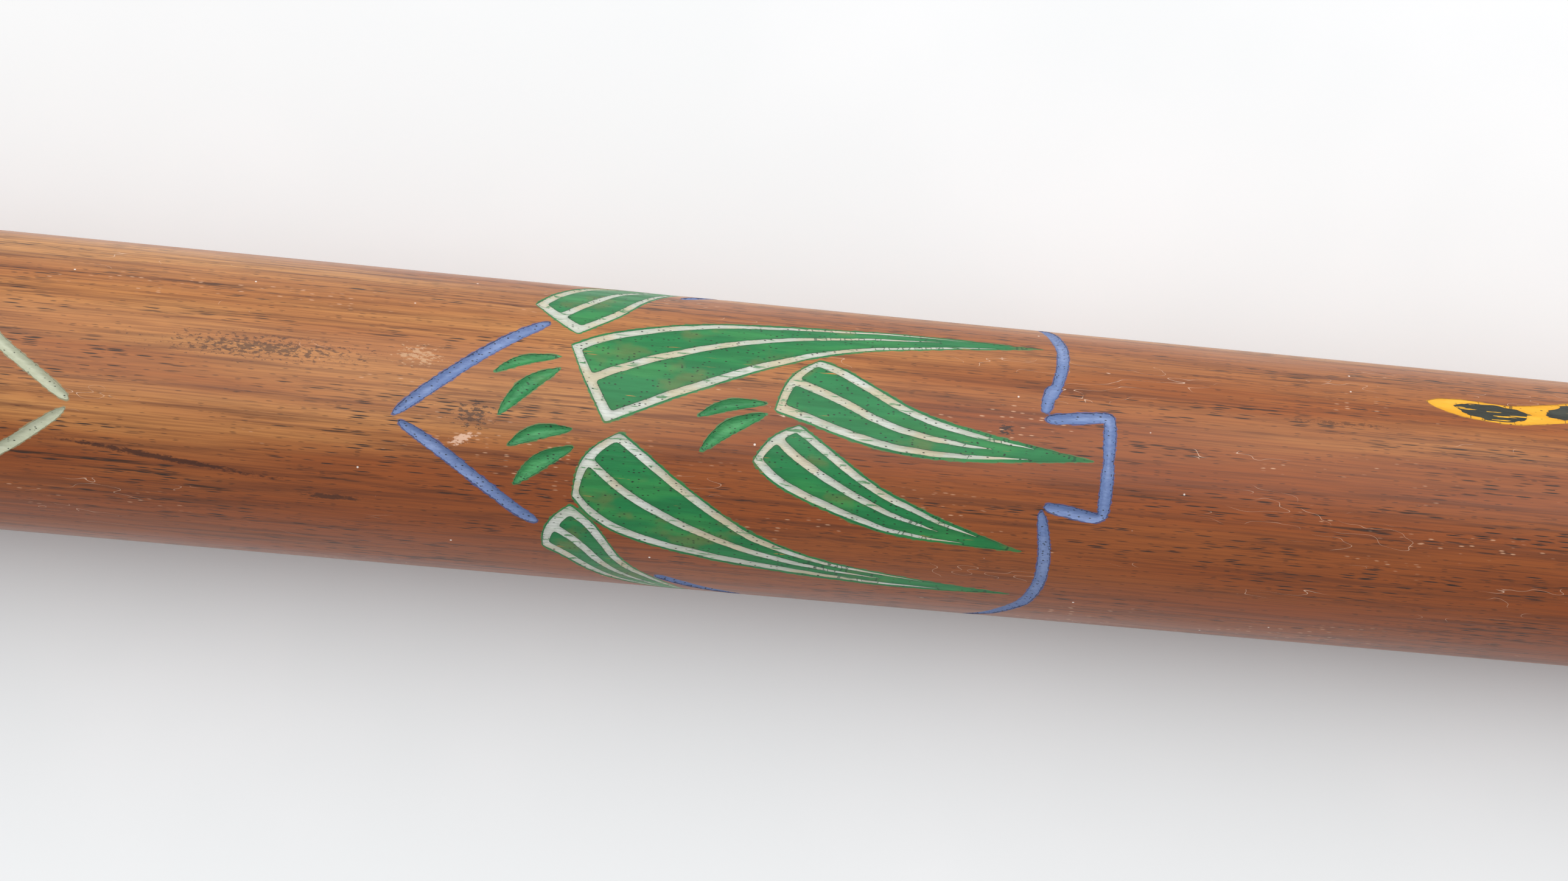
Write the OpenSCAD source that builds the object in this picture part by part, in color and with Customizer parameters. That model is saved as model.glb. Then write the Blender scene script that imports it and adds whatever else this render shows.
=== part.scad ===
// Didgeridoo, split, hollowed and glued, with carved and painted motifs.
// +X points out of the mouth along the bore, +Z up through the painted face.
// The origin is on the bore's axis, in the plane of the wooden mouth end.

/* [Tube] */
// Length of the wooden tube
tube_len = 1200; // [1000:5:1500]
// Outside diameter at the mouth end
mouth_d = 44; // [40:0.5:54]
// Outside diameter at the bell end
bell_d = 56; // [50:0.5:70]
// Bore diameter at the mouth end of the wood
bore_mouth_d = 30; // [26:0.5:32]
// Bore diameter at the bell end
bore_bell_d = 42; // [36:0.5:44]
// Width of the chamfer around both outer ends
end_chamfer = 1.2; // [0.4:0.1:2.5]

/* [Glue and wax] */
// Thickness of the glue line between the halves
glue_gap = 0.2; // [0.1:0.05:0.5]
// Thickness of the wax on the bore's wall
wax_wall = 1; // [0.6:0.1:2.5]
// How far the wax lines the bore
wax_depth = 14; // [8:1:30]
// How far the wax lip stands out of the mouth end
wax_lip = 5; // [3:0.5:8]
// Width of the wax on the wooden end face
wax_seat = 3; // [1.5:0.1:4.5]

/* [Carving] */
// Depth of the gouged strokes
stroke_depth = 0.8; // [0.5:0.05:1.5]
// Depth of the leaf fields and of the snake
field_depth = 0.5; // [0.3:0.05:1]
// How far each coat of paint lies below the wood around it
paint_sink = 0.1; // [0.05:0.05:0.25]
// Width of the gouged outline strokes
stroke_w = 2; // [1.4:0.1:3]
// Width of the lines along a leaf's edges and midrib
vein_w = 1.4; // [0.8:0.1:1.8]
// Width of the line along a leaf's base
base_w = 2.3; // [1.2:0.1:2.8]
// Width of green left outside a leaf's edge lines
leaf_fringe = 0.25; // [0.1:0.05:0.6]

/* [Motifs] */
// Distance from the mouth to the shield's point
shield_at = 665; // [560:1:700]
// Gap between the points of the two shields
shield_gap = 54; // [30:1:90]
// Distance from the mouth to the snake's tail
tail_at = 493; // [440:1:520]
// Width of the snake at its head end
snake_w = 8; // [5:0.5:11]

/* [Hidden] */
$fn = 96;
eps = 1;
mirror_x = -2 * shield_at - shield_gap;
// Turn of the second shield around the tube, in degrees
chevron_turn = -6;

// Outline strokes of a shield: distance behind its point, angle around the tube.
shield_tip = [
    [[-0.5, 0.5], [7.3, 16], [16.3, 33], [24.3, 46.8]],
    [[0.5, -1], [10, -14], [21, -32], [25.2, -37.8]]];
chevron_tip = [
    [[0, 1], [6, 10.5], [11.6, 19], [25, 44]],
    [[0.4, -1.6], [9.8, -18], [18, -31], [23.8, -38.5]]];
outline_strokes = [
    [[45, 76], [53, 90], [68, 99]],
    [[73, 100], [88, 99], [105, 91]],
    [[45, -65], [53, -76], [60, -85]],
    [[62, -88], [78, -95], [96, -89]],
    [[107, 89], [109, 74], [110.5, 60], [110.5, 46], [109, 30]],
    [[109, 38], [108, 25]],
    [[108, 22.5], [119.8, 26]],
    [[119, 26.5], [119.2, 7]],
    [[119.3, 10], [119, -15.5]],
    [[109, -11.5], [119, -15]],
    [[108.7, -13], [110.1, -35], [108.1, -59], [98, -87]]];

// Leaves of a shield: upper edge and lower edge, both from the base to the
// shared tip, then how far the base bulges and where the midrib lies between.
leaves = [
    [[[21, 57], [25, 70], [32, 84], [49, 97]],
        [[29, 41], [35.5, 53], [40, 68], [49, 97]], 0.5, 0.5],
    [[[28, 36], [36, 45], [50, 54], [65, 57.5], [86, 60.5], [107.5, 59]],
        [[35, 4.5], [46, 16.5], [60, 31.5], [75, 45], [95, 54], [107.5, 59]], 0.4, 0.53],
    [[[38, 2], [43.5, -7], [53, -22], [65, -38], [81, -48], [105.5, -55]],
        [[30.5, -25], [36, -37], [47, -46], [64, -53], [86, -57], [105.5, -55]], 2.6, 0.5],
    [[[30.5, -28], [35, -37.5], [40.5, -57], [48, -75], [53, -93]],
        [[26, -50.5], [30.5, -58], [38, -73], [53, -93]], 1.8, 0.5],
    [[[70, 39.7], [75, 35.2], [86, 22], [97.5, 15], [117, 7.5]],
        [[63, 15.5], [70, 11], [81, 4.5], [95, 3], [117, 7.5]], 1.8, 0.5],
    [[[67.5, 11], [72, 4.5], [81, -9], [92, -20], [106.5, -31.5]],
        [[60, -4.5], [64, -12.5], [75, -23], [86, -29.5], [106.5, -31.5]], 1.3, 0.55]];

// Leaflets, single gouge cuts: start, end and greatest width.
leaflets = [
    [[15.5, 20.5], [27, 30], 1.8], [[17, 4], [27, 25], 2.7],
    [[19, -7], [30, 1.5], 2.4], [[20.5, -22.5], [30.5, -5], 2.7],
    [[50, 10.5], [62, 18.5], 2], [[51, -3], [62, 14.5], 2.6]];
// Offset of a leaflet's middle from the straight line between its ends
leaflet_bow = [-0.8, 1.7];

// Centre line of the snake: distance from its tail towards the mouth, angle.
snake_line = [[0, 49.5], [8, 47], [15, 46], [23, 49.5], [34, 56], [50, 51], [70, 30], [93, 14],
    [118, 19], [143, 40], [168, 49], [193, 36], [218, 14], [243, 8], [268, 20], [292, 34]];
// Start of the first black patch, length of a patch and distance to the next
patch_first = 4.5;
patch_len = 13.5;
patch_step = 16;
// Share of the snake's width that a patch takes
patch_share = 0.82;

// Outside radius of the wood at x
function wall_r(x) = (mouth_d - (bell_d - mouth_d) * x / tube_len) / 2;
function bore_r(x) = (bore_mouth_d - (bore_bell_d - bore_mouth_d) * x / tube_len) / 2;

// Point of a smooth curve through p, at the share t of its length
function curve(p, t) =
    let (n = len(p) - 1, s = t * n, i = min(floor(s), n - 1), f = s - i)
    let (b = p[i], c = p[i + 1], a = i > 0 ? p[i - 1] : 2 * b - c)
    let (d = i + 2 <= n ? p[i + 2] : 2 * c - b)
    0.5 * (2 * b + (c - a) * f + (2 * a - 5 * b + 4 * c - d) * f * f
        + (3 * b - a - 3 * c + d) * f * f * f);

// Share of a path's control points passed at x, for a path whose x only grows
function share_at(p, x) =
    let (n = len(p) - 1, past = [for (i = [0:n - 1]) if (p[i].x <= x) i], i = max(past))
    (i + (x - p[i].x) / (p[i + 1].x - p[i].x)) / n;

// From angle to arc length around the wood and back
function laid(p) = [p.x, wall_r(p.x) * p.y * PI / 180];
function rolled(q) = [q.x, q.y / wall_r(q.x) * 180 / PI];

// Point beside a laid path, at share t, off to the left by w
function beside(p, t, w) =
    let (d = curve(p, min(t + 0.01, 1)) - curve(p, max(t - 0.01, 0)))
    curve(p, t) + w * [-d.y, d.x] / norm(d);

// Shares of a path's length, closer together at its ends
function spaced(n) = [for (i = [0:n]) (1 - cos(180 * i / n)) / 2];

// Half widths along a stroke: round ends, or a taper to a point
function round_w(t) = sqrt(1 - pow(abs(2 * t - 1), 5));
function lens_w(t) = pow(sin(180 * t), 0.8);

// Outlines in laid coordinates
function round_stroke(p, w, n) = let (s = spaced(n)) concat(
    [for (t = s) beside(p, t, w / 2 * round_w(t))],
    [for (i = [n - 1:-1:1]) beside(p, s[i], -w / 2 * round_w(s[i]))]);
function lens_stroke(p, w, n) = let (s = spaced(n)) concat(
    [for (t = s) beside(p, t, w / 2 * lens_w(t))],
    [for (i = [n - 1:-1:1]) beside(p, s[i], -w / 2 * lens_w(s[i]))]);

// Point of a leaf at share t from base to tip and share k from lower to upper edge
function leaf_pt(l, t, k) =
    let (d = l[0][0] - l[1][0], bow = l[2] * sin(180 * k) * pow(1 - t, 4))
    k * curve(l[0], t) + (1 - k) * curve(l[1], t) + bow * [-abs(d.y), sign(d.y) * d.x] / norm(d);
function leaf_outline(l, n) = concat(
    [for (i = [0:n]) leaf_pt(l, i / n, 1)],
    [for (i = [n - 1:-1:0]) leaf_pt(l, i / n, 0)],
    [for (i = [1:5]) leaf_pt(l, 0, i / 6)]);

// Where a motif's points lie: on the shield, and mirrored on the second shield
function on_shield(p) = [for (q = p) laid([q.x - shield_at, q.y])];
function on_chevron(p) = [for (q = p) laid([mirror_x + shield_at - q.x, q.y + chevron_turn])];
function on_snake(p) = [for (q = p) laid([q.x - tail_at, q.y])];

// Shares of a leaf's local width taken by its fringe and by one line
function leaf_width(l, t) = norm(curve(l[0], t) - curve(l[1], t));
function fringe_share(l, t) = leaf_fringe / max(leaf_width(l, t), 15 * leaf_fringe);
function line_share(l, t) = vein_w / max(leaf_width(l, t), 4.5 * vein_w);
function leaf_length(l) = norm(curve(l[0], 1) - (l[0][0] + l[1][0]) / 2);

// Band along a leaf that narrows to a point; at gives its middle's share k
function line_at(l, t, side) =
    side > 0 ? 1 - fringe_share(l, t) - line_share(l, t) / 2
    : side < 0 ? fringe_share(l, t) + line_share(l, t) / 2
    : l[3];
function line_band(l, side, t0, t1, n) = concat(
    [for (i = [0:n]) let (t = t0 + (t1 - t0) * i / n, h = line_share(l, t) / 2)
        leaf_pt(l, t, line_at(l, t, side) + h * sqrt(1 - pow(i / n, 3)))],
    [for (i = [n - 1:-1:0]) let (t = t0 + (t1 - t0) * i / n, h = line_share(l, t) / 2)
        leaf_pt(l, t, line_at(l, t, side) - h * sqrt(1 - pow(i / n, 3)))]);
// Band along a leaf's base, inside its fringe
function base_band(l, t0, t1, n) = let (k = fringe_share(l, 0)) concat(
    [for (i = [0:n]) leaf_pt(l, t0, k + (1 - 2 * k) * i / n)],
    [for (i = [n:-1:0]) leaf_pt(l, t1, k + (1 - 2 * k) * i / n)]);

// Lines of a leaf: base, both edges and midrib, which all meet at the base
function vein_outlines(l) =
    let (t0 = leaf_fringe / leaf_length(l), t1 = t0 + base_w / leaf_length(l)) [
    base_band(l, t0, t1, 6),
    line_band(l, 1, t0, 0.88, 8),
    line_band(l, -1, t0, 0.88, 8),
    line_band(l, 0, (t0 + t1) / 2, 0.8, 8)];

// Mean angle of an outline in laid coordinates
function mid_angle(q) =
    let (a = [for (p = q) rolled(p).y]) (min(a) + max(a)) / 2;

// Prism through the wall along the radius at the outline's mid angle
module radial_prism(q) {
    phi = mid_angle(q);
    r = wall_r(q[0].x);
    flat = [for (p = q) [p.x, wall_r(p.x) * sin(rolled(p).y - phi)]];
    rotate([-phi, 0, 0])
        translate([0, 0, 0.55 * r])
            linear_extrude(height = 0.6 * r) polygon(flat);
}

// Solid cone along the tube, its surface lowered by sink
module cone(sink, past = 0) {
    slope = (bell_d - mouth_d) / tube_len / 2;
    translate([past, 0, 0])
        rotate([0, -90, 0])
            cylinder(
                h = tube_len + 2 * past,
                r1 = mouth_d / 2 - sink - past * slope,
                r2 = bell_d / 2 - sink + past * slope);
}

// Layer of the wall between two depths below the wood's surface
module layer(deep, shallow) {
    difference() {
        cone(shallow);
        cone(deep, eps);
    }
}

// Outlines of every coat of a shield, in laid coordinates
function bowed(c) = [c[0], (c[0] + c[1]) / 2 + leaflet_bow, c[1]];
shield_strokes = [for (s = concat(shield_tip, outline_strokes))
    round_stroke(on_shield(s), stroke_w, 8)];
shield_laid = [for (l = leaves) [on_shield(l[0]), on_shield(l[1]), l[2], l[3]]];
shield_fields = [for (l = shield_laid) leaf_outline(l, 8)];
shield_lines = [for (l = shield_laid, v = vein_outlines(l)) v];
shield_cuts = [for (c = leaflets) lens_stroke(on_shield(bowed(c)), c[2], 6)];

// The second shield faces the first, so its bases bulge the other way
chevron_strokes = [for (s = concat(chevron_tip, outline_strokes))
    round_stroke(on_chevron(s), stroke_w, 8)];
chevron_laid = [for (l = leaves) [on_chevron(l[0]), on_chevron(l[1]), -l[2], l[3]]];
chevron_fields = [for (l = chevron_laid) leaf_outline(l, 8)];
chevron_lines = [for (l = chevron_laid, v = vein_outlines(l)) v];
chevron_cuts = [for (c = leaflets) lens_stroke(on_chevron(bowed(c)), c[2], 6)];

// The snake is narrow at the tail and widens to its head
snake_path = on_snake(snake_line);
function snake_half(t) =
    (2 + (snake_w / 2 - 2) * t) * min(1, sqrt(20 * t)) * sqrt(min(1, 30 * (1 - t)));
function snake_band(t0, t1, n) = concat(
    [for (i = [0:n]) let (t = t0 + (t1 - t0) * i / n) beside(snake_path, t, snake_half(t))],
    [for (i = [n:-1:0]) let (t = t0 + (t1 - t0) * i / n) beside(snake_path, t, -snake_half(t))]);
// Its parts overlap a little, because each is cut along its own radius
snake_lap = 0.004;
snake_parts = [for (i = [0:5])
    snake_band(max(i / 6 - snake_lap, 0), min((i + 1) / 6 + snake_lap, 1), 10)];

// Black patch from x0 to x1 along the snake, pointed at both ends
function patch_half(t, s) = patch_share * snake_half(t) * pow(sin(180 * s), 0.5);
function patch(x0, x1) =
    let (t0 = share_at(snake_line, x0), t1 = share_at(snake_line, x1), n = 8) concat(
    [for (i = [0:n]) let (t = t0 + (t1 - t0) * i / n)
        beside(snake_path, t, patch_half(t, i / n))],
    [for (i = [n - 1:-1:1]) let (t = t0 + (t1 - t0) * i / n)
        beside(snake_path, t, -patch_half(t, i / n))]);
snake_len = snake_line[len(snake_line) - 1].x;
patches = [for (x = [patch_first:patch_step:snake_len - patch_step]) patch(x, x + patch_len)];

module prisms(outlines) {
    for (q = outlines) radial_prism(q);
}

module coat(outlines, depth) {
    intersection() {
        prisms(outlines);
        layer(depth, paint_sink);
    }
}

// Everything that is carved out of the wood
module carving() {
    difference() {
        union() {
            prisms(shield_strokes);
            prisms(chevron_strokes);
            prisms(shield_cuts);
            prisms(chevron_cuts);
        }
        cone(stroke_depth, eps);
    }
    difference() {
        union() {
            prisms(shield_fields);
            prisms(chevron_fields);
            prisms(snake_parts);
        }
        cone(field_depth, eps);
    }
}

module whole_tube() {
    difference() {
        rotate([0, -90, 0])
            rotate_extrude()
                polygon([
                    [bore_mouth_d / 2, 0],
                    [mouth_d / 2 - end_chamfer, 0],
                    [wall_r(-end_chamfer), end_chamfer],
                    [wall_r(end_chamfer - tube_len), tube_len - end_chamfer],
                    [bell_d / 2 - end_chamfer, tube_len],
                    [bore_bell_d / 2, tube_len]]);
        carving();
    }
}

module half_space(above) {
    width = 2 * bell_d;
    start = above ? glue_gap / 2 : -width - glue_gap / 2;
    translate([-tube_len - eps, -width / 2, start]) cube([tube_len + 2 * eps, width, width]);
}

module upper_half() {
    color("peru") intersection() {
        whole_tube();
        half_space(true);
    }
}

module lower_half() {
    color("sienna") intersection() {
        whole_tube();
        half_space(false);
    }
}

module seam_glue() {
    color("khaki") intersection() {
        whole_tube();
        translate([-tube_len - eps, -bell_d, -glue_gap / 2])
            cube([tube_len + 2 * eps, 2 * bell_d, glue_gap]);
    }
}

module mouth_wax() {
    lip_r = wax_lip / 2;
    hole_r = bore_mouth_d / 2 - wax_wall;
    seat_r = max(bore_mouth_d / 2 + wax_seat, hole_r + 2 * lip_r);
    color("goldenrod") rotate([0, 90, 0])
        rotate_extrude()
            polygon(concat(
                [[hole_r, -wax_depth], [bore_r(-wax_depth), -wax_depth]],
                [[bore_mouth_d / 2, 0], [seat_r, 0]],
                [for (a = [0:15:90]) [seat_r - lip_r + lip_r * cos(a), lip_r + lip_r * sin(a)]],
                [for (a = [0:15:90]) [hole_r + lip_r - lip_r * sin(a), lip_r + lip_r * cos(a)]]));
}

module shield_outline() {
    color("cornflowerblue") coat(shield_strokes, stroke_depth);
}

module shield_leaves() {
    color("seagreen") difference() {
        coat(shield_fields, field_depth);
        prisms(shield_lines);
    }
}

module shield_veins() {
    color("beige") intersection() {
        coat(shield_lines, field_depth);
        prisms(shield_fields);
    }
}

module shield_leaflets() {
    color("mediumseagreen") coat(shield_cuts, stroke_depth);
}

module chevron_outline() {
    color("darkseagreen") coat(chevron_strokes, stroke_depth);
}

module chevron_leaves() {
    color("orange") difference() {
        coat(chevron_fields, field_depth);
        prisms(chevron_lines);
    }
}

module chevron_veins() {
    color("beige") intersection() {
        coat(chevron_lines, field_depth);
        prisms(chevron_fields);
    }
}

module chevron_leaflets() {
    color("royalblue") coat(chevron_cuts, stroke_depth);
}

module snake_body() {
    color("gold") difference() {
        coat(snake_parts, field_depth);
        prisms(patches);
    }
}

module snake_patches() {
    color("dimgray") coat(patches, field_depth);
}

upper_half();
lower_half();
seam_glue();
mouth_wax();
shield_outline();
shield_leaves();
shield_veins();
shield_leaflets();
chevron_outline();
chevron_leaves();
chevron_veins();
chevron_leaflets();
snake_body();
snake_patches();
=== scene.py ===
import bpy
import math
import numpy as np
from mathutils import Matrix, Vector, noise
from mathutils.geometry import delaunay_2d_cdt
from mathutils.kdtree import KDTree


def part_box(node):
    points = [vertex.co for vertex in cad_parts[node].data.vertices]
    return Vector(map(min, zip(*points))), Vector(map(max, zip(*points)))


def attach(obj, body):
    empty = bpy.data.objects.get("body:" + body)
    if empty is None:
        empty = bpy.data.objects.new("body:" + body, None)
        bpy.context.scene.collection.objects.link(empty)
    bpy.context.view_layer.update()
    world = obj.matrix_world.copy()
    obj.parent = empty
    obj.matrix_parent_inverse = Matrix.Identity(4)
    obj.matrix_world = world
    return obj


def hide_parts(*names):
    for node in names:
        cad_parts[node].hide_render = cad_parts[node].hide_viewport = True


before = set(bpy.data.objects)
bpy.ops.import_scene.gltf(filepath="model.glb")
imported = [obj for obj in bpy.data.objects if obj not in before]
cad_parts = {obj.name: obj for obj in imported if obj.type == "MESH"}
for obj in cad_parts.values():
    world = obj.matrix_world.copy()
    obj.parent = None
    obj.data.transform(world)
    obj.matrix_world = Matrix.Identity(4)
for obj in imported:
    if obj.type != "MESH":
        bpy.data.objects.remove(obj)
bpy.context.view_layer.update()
mm = 0.001


tolerance = {
    "end": 0.01 * mm,  # a point this near an end of the tube is on it
    "skin": 0.06 * mm,  # a point this near the highest ones is on top
    "weld": 0.002 * mm,  # points closer than this are one
    "cone": 0.002 * mm,  # a point this near the outer cone is on it
    "endZone": 8 * mm,  # the chamfer is looked for within this of the mouth
}


def nodePoints(node):
    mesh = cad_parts[node].data
    points = np.empty(len(mesh.vertices) * 3)
    mesh.vertices.foreach_get("co", points)
    return points.reshape(-1, 3)


def readTube():
    points = np.concatenate([nodePoints("upper_half"), nodePoints("lower_half")])
    radius = np.hypot(points[:, 1], points[:, 2])
    length = -points[:, 0].min()
    atMouth = radius[points[:, 0] > -tolerance["end"]]
    atBell = radius[points[:, 0] < -length + tolerance["end"]]
    # the outer cone is read just past the chamfers and carried on to the ends
    start = points[:, 0] > -tolerance["endZone"]
    onSkin = start & (radius > radius[start].max() - tolerance["skin"])
    chamfer = -points[onSkin, 0].max()
    near = radius[abs(points[:, 0] + chamfer) < tolerance["end"]].max()
    far = radius[abs(points[:, 0] + length - chamfer) < tolerance["end"]].max()
    slope = (far - near) / (length - 2 * chamfer)
    return {
        "length": length, "chamfer": chamfer, "slope": slope,
        "mouth": near - slope * chamfer, "bell": far + slope * chamfer,
        "boreMouth": atMouth.min(), "boreBell": atBell.min()}


tube = readTube()
tube["flat"] = (tube["mouth"] + tube["bell"]) / 2  # radius that the unrolled sheet is drawn at
print("tube", {k: round(v * 1000, 3) for k, v in tube.items()})


def outerRadius(x):
    return tube["mouth"] - tube["slope"] * x


def boreRadius(x):
    return tube["boreMouth"] - (tube["boreBell"] - tube["boreMouth"]) * x / tube["length"]


# outlines of the painted carving are read from the top faces of the CAD coats
carving = {
    "step": 0.4 * mm,  # spacing of points along an outline
    "corner": math.radians(38),  # a sharper turn than this stays a corner
    "straight": 0.012, "kink": 0.6, "short": 0.03 * mm,  # turns and steps that are tessellation's
    "wobble": 0.07 * mm, "wobbleLength": 5 * mm,  # slow wander of the hand-held gouge
    "nick": 0.03 * mm, "nickLength": 1.7 * mm,  # small nicks along the cut
    "brushHand": 1.7,  # a brush inside a cut wanders this much more than the gouge
    "fieldSpacing": 0.7 * mm, "grooveSpacing": 0.42 * mm,  # of the points inside a coat
    "rowRise": 0.866, "clear": 0.24 * mm,  # height of a row of triangles; gap kept to an outline
    "smallest": 0.15 * mm * mm,  # a loop with less area is left out
    "rim": 0.03 * mm,  # how far the paint's edge lies below the wood
    "flake": 0.45 * mm,  # how far the snake's black patches have flaked along the grain
}


def unroll(points):
    angle = np.arctan2(points[:, 1], points[:, 2])
    return np.stack([points[:, 0], angle * tube["flat"]], 1)


def topLoops(node):
    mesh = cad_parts[node].data
    points = nodePoints(node)
    cells = np.round(points / tolerance["weld"]).astype(np.int64)
    keys, index = np.unique(cells, axis=0, return_inverse=True)
    index = index.reshape(-1)
    merged = np.zeros((len(keys), 3))
    merged[index] = points
    depth = outerRadius(merged[:, 0]) - np.hypot(merged[:, 1], merged[:, 2])
    top = depth < depth.min() + tolerance["skin"]
    mesh.calc_loop_triangles()
    edges = set()
    for tri in mesh.loop_triangles:
        a, b, c = (int(index[v]) for v in tri.vertices)
        if top[a] and top[b] and top[c] and len({a, b, c}) == 3:
            for edge in ((a, b), (b, c), (c, a)):
                if edge[::-1] in edges:
                    edges.remove(edge[::-1])
                else:
                    edges.add(edge)
    follow = {}
    for a, b in edges:
        follow.setdefault(a, []).append(b)
    loops = []
    while follow:
        start = min(follow)
        loop, at = [start], follow[start].pop()
        if not follow[start]:
            del follow[start]
        while at != start:
            loop.append(at)
            step = follow[at].pop()
            if not follow[at]:
                del follow[at]
            at = step
        loops.append(unroll(merged[loop]))
    return loops, depth.max()


def loopArea(loop):
    x, y = loop[:, 0], loop[:, 1]
    return 0.5 * np.sum(x * np.roll(y, -1) - y * np.roll(x, -1))


def thin(loop):
    # drop points that the tessellation put on straight stretches
    kept = list(range(len(loop)))
    changed = True
    while changed and len(kept) > 4:
        changed = False
        for i in range(len(kept)):
            a, b, c = (loop[kept[j % len(kept)]] for j in (i - 1, i, i + 1))
            u, v = b - a, c - b
            turn = abs(math.atan2(u[0] * v[1] - u[1] * v[0], u @ v))
            short = min(np.linalg.norm(u), np.linalg.norm(v)) < carving["short"]
            if turn < carving["straight"] or (short and turn < carving["kink"]):
                del kept[i]
                changed = True
                break
    return loop[kept]


def wander(p, size, length, seed):
    q = Vector((p[0] / length, p[1] / length, seed))
    return np.array([noise.noise(q), noise.noise(q + Vector((31.7, 11.3, 5.1)))]) * size


# a smooth curve through the corners of a CAD outline, with a hand's small errors
def handCut(loop, flake=0.0, unsteady=1.0):
    loop = thin(loop)
    n = len(loop)
    chord = np.roll(loop, -1, 0) - loop
    length = np.linalg.norm(chord, axis=1)
    unit = chord / length[:, None]
    points = []
    for i in range(n):
        before, after = unit[i - 1], unit[(i + 1) % n]
        turnIn = abs(math.atan2(before[0] * unit[i][1] - before[1] * unit[i][0], before @ unit[i]))
        turnOut = abs(math.atan2(unit[i][0] * after[1] - unit[i][1] * after[0], unit[i] @ after))
        start = unit[i] if turnIn > carving["corner"] else (before + unit[i]) / 2
        end = unit[i] if turnOut > carving["corner"] else (unit[i] + after) / 2
        steps = max(1, round(length[i] / carving["step"]))
        for j in range(steps):
            t = j / steps
            a, b = loop[i], loop[(i + 1) % n]
            points.append(
                (2 * t ** 3 - 3 * t ** 2 + 1) * a + (t ** 3 - 2 * t ** 2 + t) * length[i] * start
                + (3 * t ** 2 - 2 * t ** 3) * b + (t ** 3 - t ** 2) * length[i] * end)
    points = np.array(points)
    for _ in range(2):
        points = (np.roll(points, 1, 0) + 2 * points + np.roll(points, -1, 0)) / 4
    moved = [p + wander(p, carving["wobble"] * unsteady, carving["wobbleLength"], 0.5)
             + wander(p, carving["nick"] * unsteady, carving["nickLength"], 4.5) for p in points]
    if flake:  # paint that has flaked along the grain
        moved = [p + flake * np.array([
            noise.noise(Vector((p[0] / (3.5 * mm), p[1] / (0.6 * mm), 9.0))) * 3.2,
            noise.noise(Vector((p[0] / (2.2 * mm), p[1] / (1.2 * mm), 2.0)))]) for p in moved]
    return np.array(moved)


def inside(loop, p):
    x, y = p
    x1, y1 = loop[:, 0], loop[:, 1]
    x2, y2 = np.roll(x1, -1), np.roll(y1, -1)
    cross = ((y1 > y) != (y2 > y)) & (x < (x2 - x1) * (y - y1) / (y2 - y1 + 1e-18) + x1)
    return bool(cross.sum() % 2)


# loops of a coat, grouped by the outermost loop that holds them, outermost first
def clusters(node, flake=0.0):
    loops, floor = topLoops(node)
    loops = [loop if loopArea(loop) > 0 else loop[::-1] for loop in loops]
    loops.sort(key=loopArea, reverse=True)
    groups = []
    for loop in loops:
        if loopArea(loop) < carving["smallest"]:
            continue
        home = next((g for g in groups if inside(g["raw"][0], loop[0])), None)
        if home is None:
            groups.append({"raw": [loop], "loops": [handCut(loop)]})
        else:
            home["raw"].append(loop)
            home["loops"].append(handCut(loop, flake, carving["brushHand"]))
    print(node, len(groups), "groups,", sum(len(g["loops"]) for g in groups), "loops, floor",
          round(floor / mm, 3), "mm")
    return groups, floor


carved = {}
for coatNode in ["shield_outline", "shield_leaves", "shield_leaflets", "chevron_outline",
                 "chevron_leaves", "chevron_leaflets", "snake_body"]:
    groups, floor = clusters(coatNode, carving["flake"] if coatNode == "snake_body" else 0.0)
    carved[coatNode] = {"groups": groups, "floor": floor}


def triangulate(points, edges, faces):
    out = delaunay_2d_cdt([Vector(p) for p in points], edges, faces, 0, 1e-8, True)
    return np.array([v[:] for v in out[0]]), out[2], out[5]


# finds the nearest of flat points
def pointTree(points):
    tree = KDTree(len(points))
    for i, p in enumerate(points):
        tree.insert((p[0], p[1], 0), i)
    tree.balance()
    return tree


def ringEdges(start, count):
    return [(start + i, start + (i + 1) % count) for i in range(count)]


# triangles inside a cluster's loops, with how many loops hold each
def fill(loops, spacing):
    allPoints = np.concatenate(loops)
    tree = pointTree(allPoints)
    low, high = allPoints.min(0), allPoints.max(0)
    grid = []
    rise = spacing * carving["rowRise"]
    rows = int((high[1] - low[1]) / rise) + 1
    columns = int((high[0] - low[0]) / spacing) + 1
    for j in range(rows):
        for i in range(columns):
            p = (low[0] + (i + 0.5 * (j % 2)) * spacing, low[1] + j * rise)
            if tree.find((p[0], p[1], 0))[2] > carving["clear"]:
                grid.append(p)
    points, edges, faces, start = [], [], [], 0
    for loop in loops:
        points.extend(loop)
        edges.extend(ringEdges(start, len(loop)))
        faces.append(list(range(start, start + len(loop))))
        start += len(loop)
    points.extend(grid)
    verts, tris, owners = triangulate(points, edges, faces)
    return verts, [t for t, o in zip(tris, owners) if o], [len(o) for o in owners if o]


# adds a node with its settings and what goes into it, and gives one of its outputs; a single
# word as settings is the node's operation
def put(tree, kind, settings, inputs, out=0):
    node = tree.nodes.new(kind if kind.startswith("Geometry") else "ShaderNode" + kind)
    if isinstance(settings, str):
        settings = {"operation": settings}
    for name, value in settings.items():
        setattr(node, name, value)
    for key, value in inputs.items():
        if isinstance(value, bpy.types.NodeSocket):
            tree.links.new(value, node.inputs[key])
        else:
            node.inputs[key].default_value = value
    return node.outputs[out]


smoothly = {"interpolation_type": "SMOOTHSTEP"}


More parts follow.
